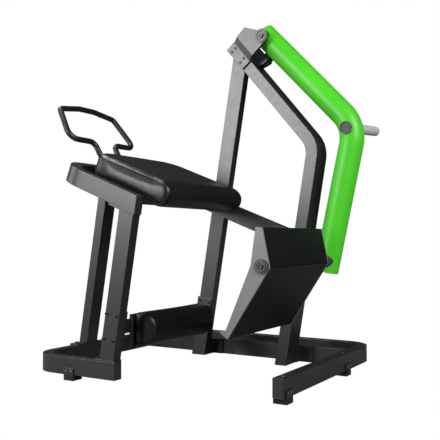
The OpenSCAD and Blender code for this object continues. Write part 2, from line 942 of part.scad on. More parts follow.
module lever_arm() {
    color("#43c62a") {
        // lower length
        difference() {
            translate([arm_bottom[0], arm_y, arm_bottom[1]])
                rotate([0, arm_low_lean, 0])
                    difference() {
                        cylinder(r = arm_r, h = arm_low_len - butt_gap, $fn = 96);
                        translate([0, 0, -1])
                            cylinder(r = arm_r - arm_wall, h = arm_low_len + 2, $fn = 96);
                    }
            cross_hole(foot_pivot, foot_shaft_d);
        }
        // elbow
        difference() {
            translate([arm_centre[0], arm_y, arm_centre[1]])
                rotate([90, 0, 0])
                    rotate([0, 0, -arm_low_lean])
                        rotate_extrude(angle = arm_low_lean + arm_up_tilt, $fn = 160)
                            translate([arm_bend_r, 0])
                                difference() {
                                    circle(r = arm_r, $fn = 96);
                                    circle(r = arm_r - arm_wall, $fn = 96);
                                }
            horn_hole();
        }
        // upper length, closed by its cap
        difference() {
            translate([arm_up_start[0], arm_y, arm_up_start[1]])
                rotate([0, -arm_up_tilt, 0])
                    translate([0, 0, butt_gap])
                        difference() {
                            cylinder(r = arm_r, h = arm_up_len, $fn = 96);
                            translate([0, 0, -1])
                                cylinder(r = arm_r - arm_wall, h = arm_up_len + 1 - arm_wall, $fn = 96);
                        }
            cross_hole(pivot, hub_d);
        }
    }
}

hub_y0 = ear_y1 + 1;
hub_y1 = arm_y + arm_r + 6;

module arm_hub() {
    color("#43c62a")
        translate([pivot[0], hub_y1, pivot[1]])
            rotate([90, 0, 0])
                difference() {
                    cylinder(d = hub_d, h = hub_y1 - hub_y0, $fn = 96);
                    translate([0, 0, -1])
                        cylinder(d = shaft_d + 2 * running_gap, h = hub_y1 - hub_y0 + 2, $fn = 96);
                }
}

horn_near = -(arm_r + 3);

tip_h = 9;
tip_rim = 3;
horn_wall = 4;
horn_neck = 6;

module weight_horn() {
    // spigot through the arm, then the bar that the weight plates slide on
    bar_start = arm_r + horn_neck;
    bar_end = arm_r + horn_len - tip_h;
    color("#c9cbce")
        horn_axis()
            difference() {
                union() {
                    translate([0, 0, horn_near])
                        cylinder(d = horn_d - 1, h = bar_start - horn_near, $fn = 96);
                    translate([0, 0, bar_start])
                        cylinder(d = horn_d, h = bar_end - bar_start, $fn = 96);
                }
                translate([0, 0, horn_near + horn_wall])
                    cylinder(d = horn_d - 2 * horn_wall - 4, h = bar_end - horn_near - 2 * horn_wall,
                        $fn = 96);
            }
}

module horn_tip() {
    // bevelled plug in the free end of the horn
    color("#b4b6ba")
        horn_axis()
            translate([0, 0, arm_r + horn_len - tip_h]) {
                cylinder(d = horn_d - 0.6, h = tip_rim, $fn = 96);
                translate([0, 0, tip_rim])
                    cylinder(d1 = horn_d - 0.6, d2 = horn_d - 14, h = tip_h - tip_rim, $fn = 96);
            }
}

module elbow_cap() {
    color("#3b3d42")
        horn_axis()
            translate([0, 0, horn_near - 8])
                difference() {
                    cylinder(d = 60, h = 8, $fn = 72);
                    translate([0, 0, -1])
                        cylinder(d = 46, h = 4, $fn = 72);
                }
}

module pivot_shaft() {
    color("#8d9096")
        translate([pivot[0], hub_y1 + 8, pivot[1]])
            rotate([90, 0, 0]) {
                cylinder(d = shaft_d, h = hub_y1 + 8 - ear_y0, $fn = 96);
                // retaining collar on the far side
                cylinder(d = 50, h = 6.5, $fn = 72);
            }
}

module pivot_washer() {
    color("#9a9da2")
        translate([pivot[0], ear_y0, pivot[1]])
            rotate([90, 0, 0])
                difference() {
                    union() {
                        cylinder(d = boss_d, h = 6, $fn = 72);
                        cylinder(d = 60, h = 9, $fn = 72);
                    }
                    translate([0, 0, 6.5])
                        cylinder(d = 46, h = 6, $fn = 72);
                }
}

module pivot_bolt() {
    color("#b9bbc0")
        translate([pivot[0], ear_y0 - 6.5, pivot[1]])
            rotate([90, 0, 0])
                difference() {
                    cylinder(d = 24, h = 9, $fn = 48);
                    translate([0, 0, 4])
                        cylinder(d = 12, h = 8, $fn = 6);
                }
}

bumper_gap = 0.3;
bumper_a0 = 142;
bumper_a1 = 178;

// a point just below the arm at rest, at the same distance down the column as col_pt(a, b)
function under_arm(a) =
    let (
        p = col_pt(a, 0),
        plane = arm_top[0] * arm_n[0] + arm_top[1] * arm_n[1] - arm_r - bumper_gap,
        lift = (plane - p[0] * arm_n[0] - p[1] * arm_n[1]) / (col_n[0] * arm_n[0] + col_n[1] * arm_n[1])
    )
    p + lift * col_n;

module stop_bumper() {
    color("#131315")
        slab(box_y_near + 2, box_y_far - 8, [
            col_pt(bumper_a0, stop_top), col_pt(bumper_a1, stop_top),
            under_arm(bumper_a1), under_arm(bumper_a0)
        ]);
}

// ---------- footplate ----------

foot_top_back = [-70, 699];
foot_top_front = [-99, 701];
foot_knee_back = [-37, 540];
foot_knee_front = [-122, 547];
foot_low_back = [-228, 248];
foot_low_front = [-237, 281];
foot_lip_tip = [-268, 276];

module foot_side(y0, y1) {
    difference() {
        slab(y0, y1, [
            foot_top_front, foot_top_back, foot_knee_back, foot_low_back,
            foot_lip_tip, foot_low_front, foot_knee_front
        ]);
        translate([foot_pivot[0], y1 + 1, foot_pivot[1]])
            rotate([90, 0, 0])
                cylinder(d = foot_shaft_d + 2 * running_gap, h = y1 - y0 + 2, $fn = 96);
    }
}

module foot_near_side() {
    color("#6e7074")
        foot_side(foot_y0, foot_y0 + foot_wall);
}

module foot_far_side() {
    color("#6e7074")
        foot_side(foot_y1 - foot_wall, foot_y1);
}

// a sheet whose outer face runs from a to b and whose body lies on the given side
module foot_sheet(a, b, side, t, cut_a, cut_b) {
    d = (b - a) / norm(b - a);
    n = [-d[1], d[0]] * side;
    slab(foot_y0 + foot_wall, foot_y1 - foot_wall, [
        a + d * cut_a, b - d * cut_b, b - d * cut_b + n * t, a + d * cut_a + n * t
    ]);
}

module foot_back_upper() {
    color("#1b1b1f")
        foot_sheet(foot_top_back, foot_knee_back, -1, sheet_t, 0, 3);
}

module foot_back_lower() {
    color("#1b1b1f")
        foot_sheet(foot_knee_back, foot_low_back, -1, sheet_t, 0.5, 0);
}

module foot_front_upper() {
    color("#1b1b1f")
        foot_sheet(foot_top_front, foot_knee_front, 1, sheet_t, 0, 0.5);
}

module foot_front_lower() {
    color("#1b1b1f")
        foot_sheet(foot_knee_front, foot_low_front, 1, sheet_t, 1, 2);
}

module foot_top_cap() {
    // closes the gap between the two upper sheets
    color("#1b1b1f")
        slab(foot_y0 + foot_wall, foot_y1 - foot_wall, [
            foot_top_front + [4.5, -0.3], foot_top_back + [-4.5, 0.3],
            foot_top_back + [-4.5, -3.7], foot_top_front + [4.5, -4.3]
        ]);
}

module foot_lip() {
    color("#1b1b1f")
        slab(foot_y0 + foot_wall, foot_y1 - foot_wall, [
            foot_low_back + [-2, 5], foot_low_front + [3, -2], foot_lip_tip + [3, 1], foot_lip_tip + [2, -3]
        ]);
}

back_upper_lean = atan2(foot_knee_back[0] - foot_top_back[0], foot_top_back[1] - foot_knee_back[1]);

module foot_panel_screws() {
    a = foot_top_back;
    d = (foot_knee_back - a) / norm(foot_knee_back - a);
    p = a + d * 24;
    color("#2c2c30")
        for (y = [122, 482])
            translate([p[0], y, p[1]])
                rotate([0, 90 - back_upper_lean, 0])
                    cylinder(d = 14, h = 3, $fn = 32);
}

module foot_shaft() {
    color("#8d9096")
        translate([foot_pivot[0], arm_y + arm_r - 6, foot_pivot[1]])
            rotate([90, 0, 0])
                cylinder(d = foot_shaft_d, h = arm_y + arm_r - 6 - foot_y0, $fn = 96);
}

module foot_near_hub() {
    color("#9a9da2")
        translate([foot_pivot[0], foot_y0 - 0.5, foot_pivot[1]])
            rotate([90, 0, 0])
                difference() {
                    union() {
                        cylinder(d = 60, h = 7, $fn = 72);
                        cylinder(d = 46, h = 11, $fn = 72);
                    }
                    translate([0, 0, 8])
                        cylinder(d = 30, h = 6, $fn = 72);
                }
}

module foot_near_bolt() {
    color("#b9bbc0")
        translate([foot_pivot[0], foot_y0 - 8.5, foot_pivot[1]])
            rotate([90, 0, 0])
                difference() {
                    cylinder(d = 22, h = 7, $fn = 48);
                    translate([0, 0, 3])
                        cylinder(d = 11, h = 6, $fn = 6);
                }
}

module foot_far_hub() {
    color("#33353a")
        translate([foot_pivot[0], foot_y1 + 0.5, foot_pivot[1]])
            rotate([-90, 0, 0])
                difference() {
                    union() {
                        cylinder(d = 48, h = 40, $fn = 72);
                        translate([0, 0, 30])
                            cylinder(d = 58, h = 28, $fn = 72);
                    }
                    translate([0, 0, -1])
                        cylinder(d = foot_shaft_d, h = 60, $fn = 96);
                }
}

// ---------- assembly ----------

// overall box, used to put the origin at the middle of the bottom
box_x0 = handle_path[len(handle_path) - 1][0] - handle_r - ball_extra;
box_x1 = arm_centre[0] + arm_bend_r + arm_r;
box_y0 = near_y - bolt_head_h;
box_y1 = far_y + foot_margin + screw_h;
shift = [-(box_x0 + box_x1) / 2, -(box_y0 + box_y1) / 2, 0];

translate(shift) {
    base_near_leg();
    base_front_tube();
    base_back_leg();
    base_rear_tube();
    base_beam();
    tube_end_caps();
    name_plate();
    foot_pads();
    foot_clips();
    foot_screws();
    near_front_post();
    near_post_plate();
    near_rail_plate();
    far_front_post();
    far_post_plate();
    middle_post();
    middle_post_flange();
    rear_column();
    column_flange();
    flange_bolts();
    frame_screws();
    top_near_rail();
    top_front_rail();
    top_far_rail();
    link_rail();
    pad_cross_bars();
    knee_crossbar();
    knee_end_plates();
    knee_bolts();
    knee_board();
    knee_pad();
    chest_board();
    chest_pad();
    handle_loop();
    column_top_plate();
    column_top_bolts();
    pivot_bracket();
    stop_bumper();
    pivot_shaft();
    pivot_washer();
    pivot_bolt();
    lever_arm();
    arm_hub();
    elbow_cap();
    weight_horn();
    horn_tip();
    foot_shaft();
    foot_near_hub();
    foot_near_bolt();
    foot_far_hub();
    foot_near_side();
    foot_far_side();
    foot_back_upper();
    foot_back_lower();
    foot_front_upper();
    foot_front_lower();
    foot_top_cap();
    foot_lip();
    foot_panel_screws();
}
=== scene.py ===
import json
import math

import bmesh
import bpy
from mathutils import Matrix, Vector
from mathutils.bvhtree import BVHTree


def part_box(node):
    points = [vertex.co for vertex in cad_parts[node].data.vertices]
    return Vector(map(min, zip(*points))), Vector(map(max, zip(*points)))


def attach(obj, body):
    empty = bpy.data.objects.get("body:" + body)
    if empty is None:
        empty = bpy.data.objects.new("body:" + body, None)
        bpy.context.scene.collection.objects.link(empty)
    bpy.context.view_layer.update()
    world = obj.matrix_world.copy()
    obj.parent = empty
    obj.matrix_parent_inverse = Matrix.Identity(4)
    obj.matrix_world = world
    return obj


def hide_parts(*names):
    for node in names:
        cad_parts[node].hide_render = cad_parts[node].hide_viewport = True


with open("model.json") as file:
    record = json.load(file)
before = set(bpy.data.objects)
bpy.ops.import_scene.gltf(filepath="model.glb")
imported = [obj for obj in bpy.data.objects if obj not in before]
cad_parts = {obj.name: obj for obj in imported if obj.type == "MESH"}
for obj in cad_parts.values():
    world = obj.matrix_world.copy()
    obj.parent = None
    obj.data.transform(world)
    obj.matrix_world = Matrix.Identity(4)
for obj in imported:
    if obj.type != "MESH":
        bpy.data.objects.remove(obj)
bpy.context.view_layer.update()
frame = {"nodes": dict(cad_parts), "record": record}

# A plate-loaded rear-kick machine. Metres, +Z up, the floor at Z = 0, the same frame as the CAD.

record = frame["record"]
nodes = frame["nodes"]
node_slot = {part["node"]: part["material_slot"] for part in record["subparts"]}


def corner_pair(node):
    low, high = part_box(node)
    return Vector(low), Vector(high)


def box_middle(node):
    low, high = corner_pair(node)
    return (low + high) / 2


# ---------------------------------------------------------------- camera, floor and light

CAMERA_PLACE = Vector((1.8152, -2.9680, 0.6615))
CAMERA_AZIMUTH = math.radians(31.04)   # 0 looks along +Y
CAMERA_PITCH = math.radians(1.40)      # looking slightly up
CAMERA_LENS = 56.57                    # mm, on a 36 mm sensor
VIEW_REACH = 200                       # how far the camera sees

WHITE = (1, 1, 1, 1)
FLOOR_RADIUS = 40
FLOOR_SINK = 0.001                     # the floor lies this far under the feet
FLOOR_GREY = (0.22, 0.22, 0.22, 1)     # what the floor throws back on the machine
SKY_STRENGTH = 0.05
BACKDROP_STRENGTH = 1.0

LIGHT_TARGET = Vector((0.0, 0.0, 0.8))
# name, place, width, height, watts
LIGHTS = [
    ("key", (-2.2, -4.4, 2.3), 2.6, 2.4, 210),
    ("side", (-4.2, -1.2, 1.6), 1.2, 2.6, 30),
    ("fill", (4.2, -1.6, 3.0), 2.2, 2.2, 230),
    ("top", (-1.7, -0.3, 3.6), 1.3, 1.3, 80),
]


def add_camera():
    data = bpy.data.cameras.new("camera")
    data.lens = CAMERA_LENS
    data.sensor_width = 36
    data.clip_end = VIEW_REACH
    camera = bpy.data.objects.new("camera", data)
    bpy.context.collection.objects.link(camera)
    camera.location = CAMERA_PLACE
    camera.rotation_euler = (math.pi / 2 + CAMERA_PITCH, 0, CAMERA_AZIMUTH)
    bpy.context.scene.camera = camera


def add_area_light(name, place, width, height, watts):
    data = bpy.data.lights.new(name, "AREA")
    data.shape = "RECTANGLE"
    data.size = width
    data.size_y = height
    data.energy = watts
    light = bpy.data.objects.new(name, data)
    bpy.context.collection.objects.link(light)
    light.location = place
    aim = LIGHT_TARGET - Vector(place)
    light.rotation_euler = aim.to_track_quat("-Z", "Y").to_euler()


def white_for_camera(tree, glow_kind, dim_shader, socket):
    """Shows plain white to the camera, and the given shader to every other ray."""
    mix = tree.nodes.new("ShaderNodeMixShader")
    path = tree.nodes.new("ShaderNodeLightPath")
    glow = tree.nodes.new(glow_kind)
    glow.inputs["Color"].default_value = WHITE
    glow.inputs["Strength"].default_value = BACKDROP_STRENGTH
    tree.links.new(path.outputs["Is Camera Ray"], mix.inputs["Fac"])
    tree.links.new(dim_shader.outputs[0], mix.inputs[1])
    tree.links.new(glow.outputs[0], mix.inputs[2])
    tree.links.new(mix.outputs[0], socket)


def add_world():
    world = bpy.data.worlds.new("studio")
    bpy.context.scene.world = world
    world.use_nodes = True
    tree = world.node_tree
    tree.nodes.clear()
    out = tree.nodes.new("ShaderNodeOutputWorld")
    soft = tree.nodes.new("ShaderNodeBackground")
    soft.inputs["Color"].default_value = WHITE
    soft.inputs["Strength"].default_value = SKY_STRENGTH
    white_for_camera(tree, "ShaderNodeBackground", soft, out.inputs["Surface"])


def add_floor():
    mesh = bpy.data.meshes.new("studio_floor")
    form = bmesh.new()
    bmesh.ops.create_circle(form, cap_ends=True, segments=96, radius=FLOOR_RADIUS)
    form.to_mesh(mesh)
    form.free()
    floor = bpy.data.objects.new("studio_floor", mesh)
    bpy.context.collection.objects.link(floor)
    floor.location.z = -FLOOR_SINK
    material = bpy.data.materials.new("floor_white")
    material.use_nodes = True
    tree = material.node_tree
    tree.nodes.clear()
    out = tree.nodes.new("ShaderNodeOutputMaterial")
    matte = tree.nodes.new("ShaderNodeBsdfDiffuse")
    matte.inputs["Color"].default_value = FLOOR_GREY
    white_for_camera(tree, "ShaderNodeEmission", matte, out.inputs["Surface"])
    mesh.materials.append(material)


add_camera()
add_world()
add_floor()
for light_settings in LIGHTS:
    add_area_light(*light_settings)
bpy.context.scene.view_settings.view_transform = "Standard"
bpy.context.scene.view_settings.look = "None"


# ---------------------------------------------------------------- materials

# most values of a noise texture lie between these two
NOISE_LOW = 0.3
NOISE_HIGH = 0.7


class Shader:
    """A principled material with helpers for its texture nodes, all in object coordinates."""

    def __init__(self, name, metallic=0.0, coat=0.0, coat_rough=0.1, specular=0.5):
        self.material = bpy.data.materials.new(name)
        self.material.use_nodes = True
        self.tree = self.material.node_tree
        self.bsdf = self.tree.nodes["Principled BSDF"]
        self.bsdf.inputs["Metallic"].default_value = metallic
        self.bsdf.inputs["Coat Weight"].default_value = coat
        self.bsdf.inputs["Coat Roughness"].default_value = coat_rough
        self.bsdf.inputs["Specular IOR Level"].default_value = specular
        coordinates = self.tree.nodes.new("ShaderNodeTexCoord")
        self.place = coordinates.outputs["Object"]

    def node(self, kind, **settings):
        made = self.tree.nodes.new(kind)
        for key, value in settings.items():
            setattr(made, key, value)
        return made

    def link(self, source, target):
        self.tree.links.new(source, target)

    def stretched(self, scale):
        mapping = self.node("ShaderNodeMapping")
        mapping.inputs["Scale"].default_value = scale
        self.link(self.place, mapping.inputs["Vector"])
        return mapping.outputs["Vector"]

    def noise(self, scale, detail=3.0, rough=0.5, place=None):
        made = self.node("ShaderNodeTexNoise")
        made.inputs["Scale"].default_value = scale
        made.inputs["Detail"].default_value = detail
        made.inputs["Roughness"].default_value = rough
        self.link(place or self.place, made.inputs["Vector"])
        return made.outputs["Fac"]

    def cells(self, scale):
        made = self.node("ShaderNodeTexVoronoi", feature="F1")
        made.inputs["Scale"].default_value = scale
        self.link(self.place, made.inputs["Vector"])
        return made.outputs["Distance"]

    def colour(self, value, dark, light, low=NOISE_LOW, high=NOISE_HIGH):
        """Runs the base colour from dark to light as the value goes from low to high."""
        ramp = self.node("ShaderNodeValToRGB")
        for element, place, tone in zip(ramp.color_ramp.elements, (low, high), (dark, light)):
            element.position = place
            element.color = (*tone, 1)
        self.link(value, ramp.inputs["Fac"])
        self.link(ramp.outputs["Color"], self.bsdf.inputs["Base Color"])

    def roughness(self, value, low, high):
        spread = self.node("ShaderNodeMapRange")
        spread.inputs["From Min"].default_value = NOISE_LOW
        spread.inputs["From Max"].default_value = NOISE_HIGH
        spread.inputs["To Min"].default_value = low
        spread.inputs["To Max"].default_value = high
        self.link(value, spread.inputs["Value"])
        self.link(spread.outputs["Result"], self.bsdf.inputs["Roughness"])

    def relief(self, heights, edge=0.0):
        """Bumps from a list of (height, strength, depth), over edges rounded by a radius, in metres."""
        normal = None
        if edge:
            bevel = self.node("ShaderNodeBevel", samples=6)
            bevel.inputs["Radius"].default_value = edge
            normal = bevel.outputs["Normal"]
        for height, strength, depth in heights:
            bump = self.node("ShaderNodeBump")
            bump.inputs["Strength"].default_value = strength
            bump.inputs["Distance"].default_value = depth
            self.link(height, bump.inputs["Height"])
            if normal:
                self.link(normal, bump.inputs["Normal"])
            normal = bump.outputs["Normal"]
        self.link(normal, self.bsdf.inputs["Normal"])
        return self.material


def powder_coat(name, dark, light, rough, edge=0.004, specular=0.9):
    """Paint baked from powder: a fine orange peel, faint dust and rounded bright edges."""
    shader = Shader(name, specular=specular)
    dust = shader.noise(scale=9, detail=4, rough=0.6)
    patches = shader.noise(scale=38)
    peel = shader.noise(scale=620, detail=2, rough=0.4)
    waves = shader.noise(scale=90, detail=2)
    shader.colour(dust, dark, light)
    shader.roughness(patches, rough - 0.02, rough + 0.02)
    return shader.relief([(peel, 0.03, 0.0003), (waves, 0.02, 0.0006)], edge)


def gloss_paint(name, dark, light):
    """Smooth paint under a thin clear coat, with a trace of ripple."""
    shader = Shader(name, coat=0.2, coat_rough=0.34, specular=0.35)
    depth_of_colour = shader.noise(scale=6)
    patches = shader.noise(scale=30)
    ripple = shader.noise(scale=200, detail=2, rough=0.4)
    shader.colour(depth_of_colour, dark, light)
    shader.roughness(patches, 0.44, 0.50)
    return shader.relief([(ripple, 0.015, 0.0004)], edge=0.002)


def metal(name, dark, light, rough, grain_scale, metallic=1.0):
    """Machined or plated steel, with a fine grain drawn along one direction."""
    shader = Shader(name, metallic=metallic)
    grain = shader.noise(scale=1.0, detail=4, rough=0.7, place=shader.stretched(grain_scale))
    patches = shader.noise(scale=60, detail=4)
    shader.colour(grain, dark, light)
    shader.roughness(patches, rough - 0.03, rough + 0.04)
    return shader.relief([(grain, 0.02, 0.0002)], edge=0.0012)


def rubber(name, dark, light):
    """Dull rubber with a fine tooth and shallow dents."""
    shader = Shader(name, specular=0.3)
    bloom = shader.noise(scale=40, detail=5)
    patches = shader.noise(scale=90)
    tooth = shader.noise(scale=900, detail=2)
    dents = shader.noise(scale=90, detail=4)
    shader.colour(bloom, dark, light)
    shader.roughness(patches, 0.68, 0.86)
    return shader.relief([(tooth, 0.2, 0.0004), (dents, 0.1, 0.001)], edge=0.003)


def moulded(name, dark, light, rough):
    """Moulded plastic with a fine spark-eroded texture."""
    shader = Shader(name)
    flow = shader.noise(scale=25, detail=4)
    patches = shader.noise(scale=70)
    shader.colour(flow, dark, light)
    shader.roughness(patches, rough - 0.05, rough + 0.08)
    return shader.relief([(shader.cells(scale=1400), 0.12, 0.0002)], edge=0.0015)


def leather(name, dark, light):
    """Black imitation leather: fine pebbled grain and soft creases."""
    shader = Shader(name)
    worn = shader.noise(scale=7, detail=5, rough=0.6)
    patches = shader.noise(scale=24, detail=4)
    folds = shader.noise(scale=14)
    pebbles = shader.cells(scale=520)
    pores = shader.noise(scale=1500, detail=2)
    shader.colour(worn, dark, light, low=0.25, high=0.75)
    shader.roughness(patches, 0.36, 0.42)
    return shader.relief([(folds, 0.05, 0.003), (pebbles, 0.06, 0.0004), (pores, 0.03, 0.0002)])


def stained_board(name, dark, light):
    """Plywood backing stained black, with the grain of its layers."""
    shader = Shader(name, specular=0.3)
    layers = shader.noise(scale=1.0, detail=4, rough=0.6, place=shader.stretched((6, 60, 420)))
    patches = shader.noise(scale=80)
    shader.colour(layers, dark, light)
    shader.roughness(patches, 0.6, 0.8)
    return shader.relief([(layers, 0.2, 0.0006)], edge=0.001)


MATERIALS = {
    "frame_paint": powder_coat(
        "frame_powder_coat", (0.0075, 0.0075, 0.0082), (0.0095, 0.0095, 0.0104), rough=0.38),
    "footplate_paint": powder_coat(
        "footplate_powder_coat", (0.0022, 0.0022, 0.0028), (0.0036, 0.0036, 0.0044), rough=0.5,
        edge=0.002, specular=0.3),
    "cap_plastic": moulded("cap_plastic", (0.012, 0.012, 0.013), (0.022, 0.022, 0.024), rough=0.5),
    "rubber": rubber("foot_rubber", (0.010, 0.010, 0.010), (0.020, 0.020, 0.020)),
    "plate_grey": metal(
        "name_plate_metal", (0.10, 0.10, 0.105), (0.17, 0.17, 0.18), rough=0.42,
        grain_scale=(3, 500, 500)),
    "black_bolt": metal(
        "black_oxide_steel", (0.05, 0.05, 0.055), (0.10, 0.10, 0.11), rough=0.42,
        grain_scale=(400, 400, 400)),
    "screw_steel": metal(
        "zinc_steel", (0.28, 0.28, 0.29), (0.42, 0.42, 0.44), rough=0.35,
        grain_scale=(500, 500, 500)),
    "board": stained_board("stained_board", (0.010, 0.010, 0.010), (0.022, 0.021, 0.020)),
    "upholstery": leather("black_leather", (0.0035, 0.0035, 0.0045), (0.0060, 0.0060, 0.0072)),
    "arm_green": gloss_paint("gloss_green_paint", (0.056, 0.50, 0.010), (0.064, 0.55, 0.013)),
    "hub_dark": moulded("hub_plastic", (0.030, 0.030, 0.034), (0.050, 0.050, 0.056), rough=0.4),
    "horn_steel": metal(
        "satin_chrome", (0.66, 0.68, 0.70), (0.74, 0.76, 0.78), rough=0.40,
        grain_scale=(40, 2, 40), metallic=0.35),
    "hub_steel": metal(
        "turned_steel", (0.075, 0.075, 0.078), (0.10, 0.10, 0.104), rough=0.44,
        grain_scale=(90, 20, 90)),
}
SIDE_PLATES = ("foot_near_side", "foot_far_side")
side_grey = powder_coat(
    "side_plate_grey", (0.15, 0.15, 0.155), (0.18, 0.18, 0.185), rough=0.42, edge=0.002, specular=0.8)
bar_paint = powder_coat(
    "bar_powder_coat", (0.0065, 0.0065, 0.0072), (0.0085, 0.0085, 0.0094), rough=0.42, edge=0.0,
    specular=0.5)

for node_name, node_object in nodes.items():
    chosen = side_grey if node_name in SIDE_PLATES else MATERIALS[node_slot[node_name]]
    for material_slot in node_object.material_slots:
        material_slot.material = chosen


# ---------------------------------------------------------------- mesh helpers

def make_object(name, vertices, faces, material):
    mesh = bpy.data.meshes.new(name)
    mesh.from_pydata([tuple(v) for v in vertices], [], faces)
    mesh.validate()
    made = bpy.data.objects.new(name, mesh)
    bpy.context.collection.objects.link(made)
    mesh.materials.append(material)
    for polygon in mesh.polygons:
        polygon.use_smooth = True
    form = bmesh.new()
    form.from_mesh(mesh)
    bmesh.ops.recalc_face_normals(form, faces=form.faces)
    form.to_mesh(mesh)
    form.free()
    return made


def loft(rings, closed_ends=True):
    """Vertices and faces of a skin through rings that have the same number of points."""
    count = len(rings[0])
    vertices = [point for ring in rings for point in ring]
    faces = []
    for i in range(len(rings) - 1):
        for j in range(count):
            k = (j + 1) % count
            faces.append((i * count + j, i * count + k, (i + 1) * count + k, (i + 1) * count + j))
    if closed_ends:
        faces.append(tuple(range(count)))
        last = (len(rings) - 1) * count
        faces.append(tuple(last + j for j in reversed(range(count))))
    return vertices, faces


BEND_STEPS = 8


def rounded_route(corners, radii):
    """A route through corner points where each inner corner is a round bend of the given radius."""
    route = [corners[0]]
    for before, corner, after, radius in zip(corners, corners[1:], corners[2:], radii):
        back = (before - corner).normalized()
        on = (after - corner).normalized()
        half = math.acos(max(-1.0, min(1.0, back.dot(on)))) / 2
        reach = radius / math.tan(half)
        start = corner + back * reach
        end = corner + on * reach
        centre = corner + (back + on).normalized() * (radius / math.sin(half))
        arm_a = start - centre
        arm_b = end - centre
        turn = arm_a.angle(arm_b)
        for step in range(BEND_STEPS + 1):
            share = step / BEND_STEPS
            weight_a = math.sin((1 - share) * turn) / math.sin(turn)
            weight_b = math.sin(share * turn) / math.sin(turn)
            route.append(centre + arm_a * weight_a + arm_b * weight_b)
    route.append(corners[-1])
    return route


def tube(name, route, radius, material, sides, closed=False):
    """A round tube swept along a route, its rings turned as little as possible."""
    rings = []
    count = len(route)
    side = None
    for i, point in enumerate(route):
        before = route[(i - 1) % count] if closed or i > 0 else point
        after = route[(i + 1) % count] if closed or i < count - 1 else point
        along = (after - before).normalized()
        if side is None:
            side = along.orthogonal().normalized()
        side = (side - along * side.dot(along)).normalized()
        up = along.cross(side)
        rings.append([
            point + (side * math.cos(a) + up * math.sin(a)) * radius
            for a in (2 * math.pi * k / sides for k in range(sides))
        ])
    if closed:
        rings.append(rings[0])
    vertices, faces = loft(rings, closed_ends=not closed)
    return make_object(name, vertices, faces, material)


# ---------------------------------------------------------------- handle

HANDLE_RADIUS = 0.0145
HANDLE_SIDES = 32
# one half of the bar: distance behind its front-most point, from its middle, and below its top,
# with the radius of each bend after the foot
HANDLE_FOOT = (0.203, 0.070, 0.328)
HANDLE_BENDS = [
    ((0.124, 0.078, 0.187), 0.035),    # neck
    ((0.123, 0.257, 0.186), 0.045),    # lower corner
    ((0.008, 0.208, 0.022), 0.022),    # upper corner
    ((0.000, 0.057, 0.000), 0.060),    # end of the grip's middle stretch
]


def make_handle():
    """A bent bar: two legs, two cranked shoulders, and a bowed grip across the top."""
    low, high = corner_pair("handle_loop")
    centre_y = (low.y + high.y) / 2
    front = low.x + HANDLE_RADIUS
    top = high.z - HANDLE_RADIUS

    def half(side):
        points = [HANDLE_FOOT] + [point for point, _ in HANDLE_BENDS]
        return [Vector((front + x, centre_y + side * y, top - z)) for x, y, z in points]

    corners = half(-1) + list(reversed(half(1)))
    bends = [radius for _, radius in HANDLE_BENDS]
    route = rounded_route(corners, bends + list(reversed(bends)))
    handle = tube("handle_bar", route, HANDLE_RADIUS, bar_paint, HANDLE_SIDES)
    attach(handle, "frame")
    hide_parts("handle_loop")


make_handle()


# ---------------------------------------------------------------- pads

FABRIC_ROOM = 0.008        # a cover starts this much narrower than its CAD solid, and swells
VOXEL = 0.005
AIR_PRESSURE = 4.0
SWELL_CAP = 0.005          # how far any point may move in the simulation
CLOTH_FRAMES = 20
PIPING_RADIUS = 0.0018
PIPING_SIDES = 8
EDGE_STATIONS = 6
INNER_STATIONS = 40
NOSE_STEPS = 12
CORNER_STEPS = 4


def rounded_outline(left, right, low, high, radii, steps):
    """Points round a rectangle whose corners, from low left to low right and up, have their own radii."""
    centres = [
        (left + radii[0], low + radii[0], 180),
        (right - radii[1], low + radii[1], 270),
        (right - radii[2], high - radii[2], 0),
        (left + radii[3], high - radii[3], 90),
    ]
    points = []
    for (x, z, start), radius, count in zip(centres, radii, steps):
        for step in range(count + 1):
            angle = math.radians(start + 90 * step / count)
            points.append((x + radius * math.cos(angle), z + radius * math.sin(angle)))
    return points


def edge_inset(distance, radius):
    """How far a round edge of that radius lies inside its block, at a distance from the end face."""
    if distance >= radius:
        return 0.0
    return radius - math.sqrt(radius ** 2 - (radius - distance) ** 2)


def end_stations(width, radius):
    """Places across a block's width, close together where its end edges are round."""
    turns = [math.pi / 2 * k / EDGE_STATIONS for k in range(EDGE_STATIONS + 1)]
    near = [radius * (1 - math.cos(turn)) for turn in turns]
    flat = width - 2 * radius
    middle_places = [radius + flat * k / INNER_STATIONS for k in range(1, INNER_STATIONS)]
    far = [width - place for place in reversed(near)]
    return near + middle_places + far


def pad_block(name, width, edge, outline_at, tilt, centre):
    """A block lofted across its width, tilted and placed, and the paths of the piping at its two ends."""
    turn = Matrix.Rotation(tilt, 3, "Y")

    def ring(y, inset):
        return [turn @ Vector((s, y - width / 2, t)) for s, t in outline_at(y, inset)]

    stations = end_stations(width, edge)
    vertices, faces = loft([ring(y, edge_inset(min(y, width - y), edge)) for y in stations])
    low = Vector([min(v[i] for v in vertices) for i in range(3)])
    high = Vector([max(v[i] for v in vertices) for i in range(3)])
    offset = centre - (low + high) / 2
    corner = edge * (1 - math.sqrt(0.5))
    paths = {
        "near": [point + offset for point in ring(corner, corner)],
        "far": [point + offset for point in ring(width - corner, corner)],
    }
    pad = make_object(name, [v + offset for v in vertices], faces, MATERIALS["upholstery"])
    return pad, paths


def apply_modifier(piece, modifier):
    with bpy.context.temp_override(object=piece, active_object=piece, selected_objects=[piece]):
        bpy.ops.object.modifier_apply(modifier=modifier.name)


def voxelise(piece):
    """Gives the block an even skin of small squares."""
    remesh = piece.modifiers.new("voxels", "REMESH")
    remesh.mode = "VOXEL"
    remesh.voxel_size = VOXEL
    remesh.use_smooth_shade = True
    apply_modifier(piece, remesh)


